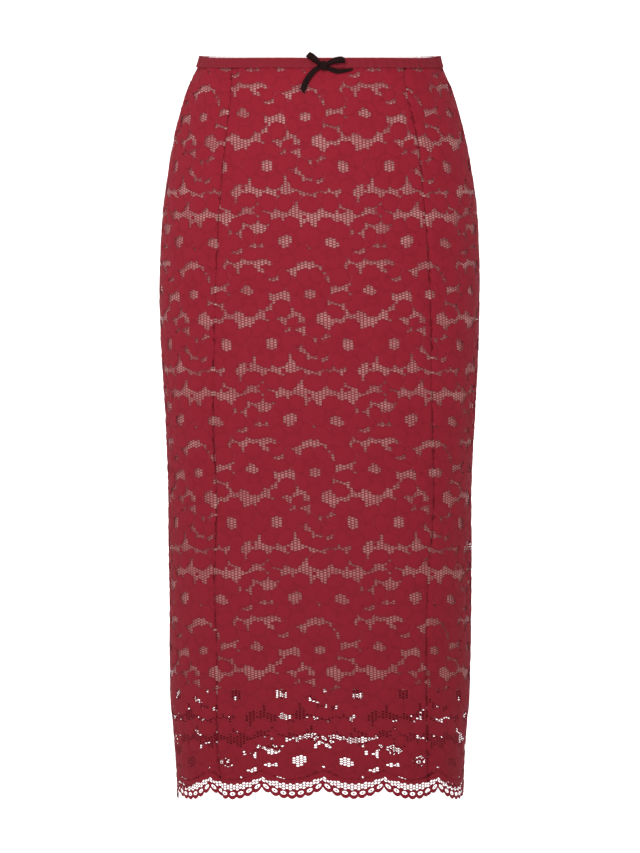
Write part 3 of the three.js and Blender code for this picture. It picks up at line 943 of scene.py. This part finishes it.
def smooth_path(rows, count):
    """A smooth curve through the rows, as many columns as they have."""
    rows = np.array(rows, float)
    t = np.arange(len(rows))
    slopes = np.gradient(rows, axis=0)
    s = np.linspace(0, len(rows) - 1, count)
    i = np.clip(s.astype(int), 0, len(rows) - 2)
    f = (s - i)[:, None]
    return ((1 + 2 * f) * (1 - f) ** 2 * rows[i] + f * (1 - f) ** 2 * slopes[i]
            + f * f * (3 - 2 * f) * rows[i + 1] + f * f * (f - 1) * slopes[i + 1])


def bow_loop(name, root, end, width, sag):
    """Out from the knot along the cloth, round a soft end and back over itself."""
    side_on = [(-0.12, 3.0), (0.25, 2.1), (0.7, 2.0), (0.95, 2.7), (1.03, 4.1), (0.95, 5.6),
               (0.68, 6.4), (0.25, 5.6), (-0.12, 4.2)]
    path = smooth_path(side_on, 57)
    share = path[:, 0]
    x = root[0] + (end[0] - root[0]) * share
    z = root[1] + (end[1] - root[1]) * share + sag * np.sin(math.pi * np.clip(share, 0, 1))
    centres = by_knot(x, z, path[:, 1])
    way = by_knot(*root, 1.0) - by_knot(*root, 0.0)
    axis = by_knot(*end, 3.0) - by_knot(*root, 3.0)
    side = np.cross(way, axis)
    side /= np.linalg.norm(side)
    lean = np.linspace(-0.25, 0.25, len(path))[:, None] * way / np.linalg.norm(way)
    widths = width * (0.62 + 0.38 * np.clip(share / 0.55, 0, 1) ** 0.7)
    return ribbon(name, centres, side + lean, widths)


def bow_tail(name, rows, slant):
    """A flat end of ribbon that curls a little off the cloth, cut at a slant."""
    path = smooth_path(rows, 41)
    along = np.linspace(0, 1, len(path))
    lift = 0.95 + 0.5 * np.sin(math.pi * along * 2.2) ** 2 + 0.7 * along ** 3
    centres = by_knot(path[:, 0], path[:, 1], lift)
    way = by_knot(path[:, 0], path[:, 1], lift + 1) - centres
    ahead = np.gradient(centres, axis=0)
    side = np.cross(way, ahead)
    side /= np.linalg.norm(side, axis=1, keepdims=True)
    curl = (0.35 * np.sin(math.pi * along * 1.5) * slant)[:, None]
    tail = ribbon(name, centres, side + curl * way / np.linalg.norm(way, axis=1, keepdims=True),
                  path[:, 2])
    count = len(tail.data.vertices) // len(path)
    last = centres[-1] - centres[-2]
    last /= np.linalg.norm(last)
    for v in tail.data.vertices[-count:]:
        across = (np.array(v.co) - centres[-1]) @ side[-1]
        v.co += Vector(last * across * slant)
    return tail


loop_right = bow_loop("velvet_loop_right", (-4.6, 2.4), (-15.6, 11.2), 6.2, 0.8)
loop_left = bow_loop("velvet_loop_left", (4.2, 1.6), (20.4, 5.4), 5.4, 1.6)
tail_right = bow_tail("velvet_tail_right",
                      [(-4.0, -0.5, 4.6), (-10.5, -5.8, 5.6), (-17.2, -15, 5.8), (-21.8, -26.3, 5.6)], 0.5)
tail_left = bow_tail("velvet_tail_left",
                     [(2.8, -1.6, 4.2), (13.5, -5.2, 5.0), (22, -4.6, 3.8), (29.7, -3.0, 1.6)], 0.3)
for piece in (loop_right, loop_left, tail_right, tail_left):
    finish_piece(piece, velvet, "velvet", piece.name.replace("velvet", "bow"))

# The knot is the ribbon wrapped once round the middle, pleated by the pull.
b = bmesh.new()
bmesh.ops.create_uvsphere(b, u_segments=40, v_segments=24, radius=1.0)
middle = by_knot(0, 0, 2.9)
out_way = by_knot(0, 0, 3.9) - middle
out_way /= np.linalg.norm(out_way)
side_way = np.cross((0, 0, 1), out_way)
side_way /= np.linalg.norm(side_way)
up_way = np.cross(out_way, side_way)
for v in b.verts:
    x, y, z = v.co
    box = max(abs(x) ** 3.2 + abs(z) ** 3.2 + abs(y) ** 2.6, 1e-9) ** (-1 / 3)
    x, y, z = x * box, y * box, z * box
    pleats = 1 + 0.05 * math.sin(9 * x + 1.0) * (1 - abs(z))
    p = (middle + side_way * (x * 4.05 * MM) + up_way * (z * 4.6 * MM * (1 - 0.10 * x * x))
         - out_way * (y * 2.45 * pleats * MM))
    v.co = tuple(p)
bmesh.ops.recalc_face_normals(b, faces=b.faces)
for f in b.faces:
    f.smooth = True
mesh = bpy.data.meshes.new("velvet_knot")
b.to_mesh(mesh)
b.free()
knot = bpy.data.objects.new("velvet_knot", mesh)
bpy.context.scene.collection.objects.link(knot)
finish_piece(knot, velvet, "velvet", "bow_knot")

# ---------------------------------------------------------------------------
# A pale studio: a floor that curves up into a wall, a broad soft light from
# the front left, a weaker one from the right, and white all round.
# ---------------------------------------------------------------------------
floor_z, wall_y, bend_r = -1.04, 5.6, 1.0      # far enough off to walk round behind the skirt
outline = [(-4.0, floor_z), (wall_y - bend_r, floor_z)]
outline += [(wall_y - bend_r + bend_r * math.sin(a), floor_z + bend_r * (1 - math.cos(a)))
            for a in np.linspace(0.1, quarter, 16)] + [(wall_y, 3.5)]
sweep = bpy.data.meshes.new("studio")
sweep.from_pydata([(x, y, z) for y, z in outline for x in (-5, 5)], [],
                  [(2 * k, 2 * k + 1, 2 * k + 3, 2 * k + 2) for k in range(len(outline) - 1)])
for f in sweep.polygons:
    f.use_smooth = True
studio = bpy.data.objects.new("studio", sweep)
bpy.context.scene.collection.objects.link(studio)
paint = bpy.data.materials.new("studio_white")
paint.use_nodes = True
paint.node_tree.nodes["Principled BSDF"].inputs["Base Color"].default_value = (0.9, 0.9, 0.9, 1)
paint.node_tree.nodes["Principled BSDF"].inputs["Roughness"].default_value = 0.95
sweep.materials.append(paint)

for name, place, size, power, colour in (
        ("key", (-0.9, -2.9, 1.1), 1.6, 67, (1.0, 0.97, 0.95)),
        ("fill", (2.4, -1.9, 0.3), 2.0, 9, (1.0, 0.98, 0.97)),
        ("rim_left", (-2.0, 0.6, 0.3), 1.4, 7, (1.0, 0.98, 0.98)),
        ("rim_right", (2.0, 1.0, 0.2), 1.4, 6, (1.0, 0.98, 0.98)),
        ("back_wall", (0, 3.8, 2.9), 3.2, 210, (1.0, 1.0, 1.0))):
    lamp = bpy.data.lights.new(name, "AREA")
    lamp.size, lamp.energy, lamp.color = size, power, colour
    holder = bpy.data.objects.new(name, lamp)
    holder.location = place
    aim = Vector((0, 5.0, -1.1)) if name == "back_wall" else Vector((0, 0, -0.4))
    holder.rotation_euler = (aim - Vector(place)).to_track_quat("-Z", "Y").to_euler()
    bpy.context.scene.collection.objects.link(holder)

world = bpy.data.worlds.new("studio_air")
world.use_nodes = True
world.node_tree.nodes["Background"].inputs[0].default_value = (1, 1, 1, 1)
world.node_tree.nodes["Background"].inputs[1].default_value = 0.55
bpy.context.scene.world = world
bpy.context.scene.view_settings.view_transform = "Standard"

lens = bpy.data.cameras.new("camera")
lens.lens, lens.sensor_width, lens.clip_end = 95.5, 36, 30
camera = bpy.data.objects.new("camera", lens)
camera.location, camera.rotation_euler = (0, -2.4, -0.386), (quarter, 0, 0)
bpy.context.scene.collection.objects.link(camera)
bpy.context.scene.camera = camera
